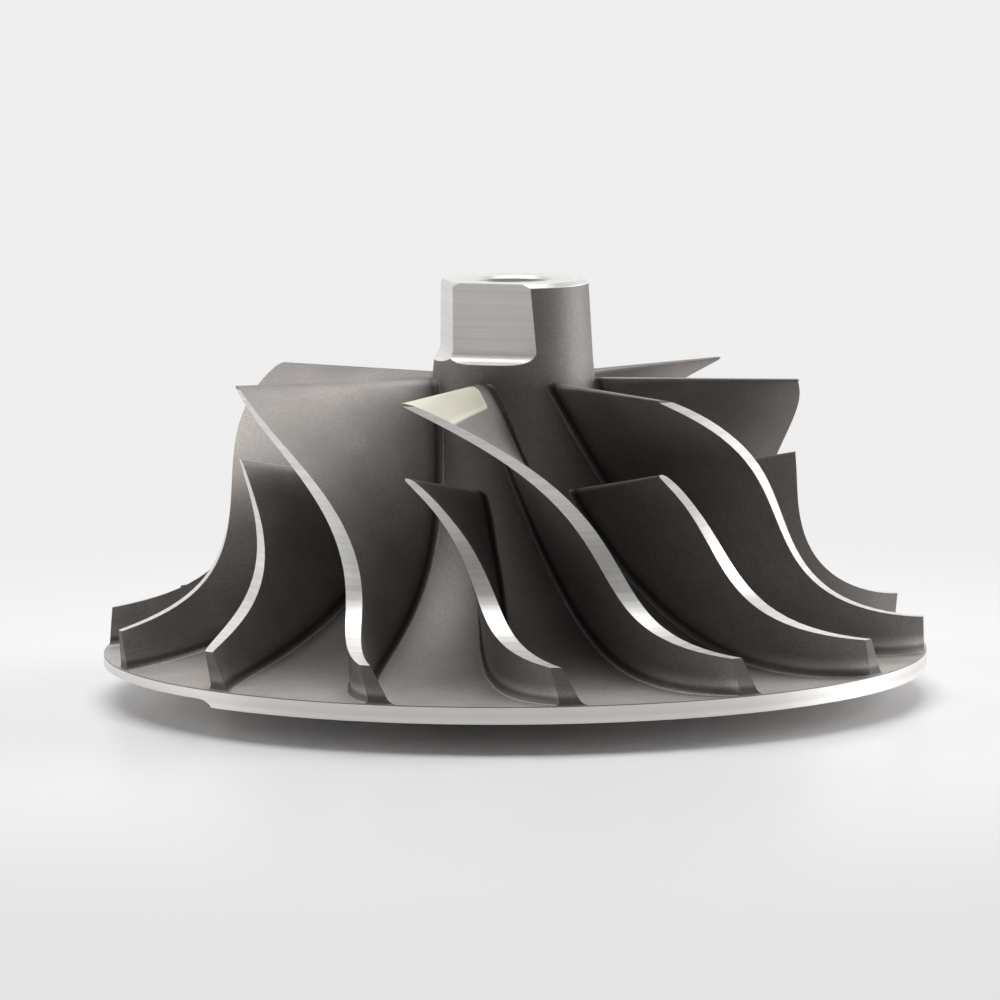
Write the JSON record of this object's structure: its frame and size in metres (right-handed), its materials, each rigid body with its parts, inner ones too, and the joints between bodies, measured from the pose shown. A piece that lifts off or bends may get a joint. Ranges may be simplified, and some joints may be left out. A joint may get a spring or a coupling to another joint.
{
  "type": "compressor wheel",
  "caption": "Centrifugal compressor wheel of a turbocharger: cast, backswept full and splitter blades on a bored hub, with turned blade tips, a plain nose and milled balance flats.",
  "frame": {"origin": "centre of the bore in the plane of the back boss's face", "axes": "+Z along the shaft axis from the back boss to the nose, which is the inlet side; +X and +Y are fixed to the blades, whose first leading edge is at -111.9 degrees from +X"},
  "size_m": [0.078, 0.078, 0.0395],
  "materials": {
    "wheel_aluminium": "as cast and grit blasted on blades and hub; turned bright on blade tips, rim, nose face and bore; milled at the balance flats"
  },
  "bodies": {
    "root": {"compressor_wheel": "wheel_aluminium"}
  },
  "joints": []
}
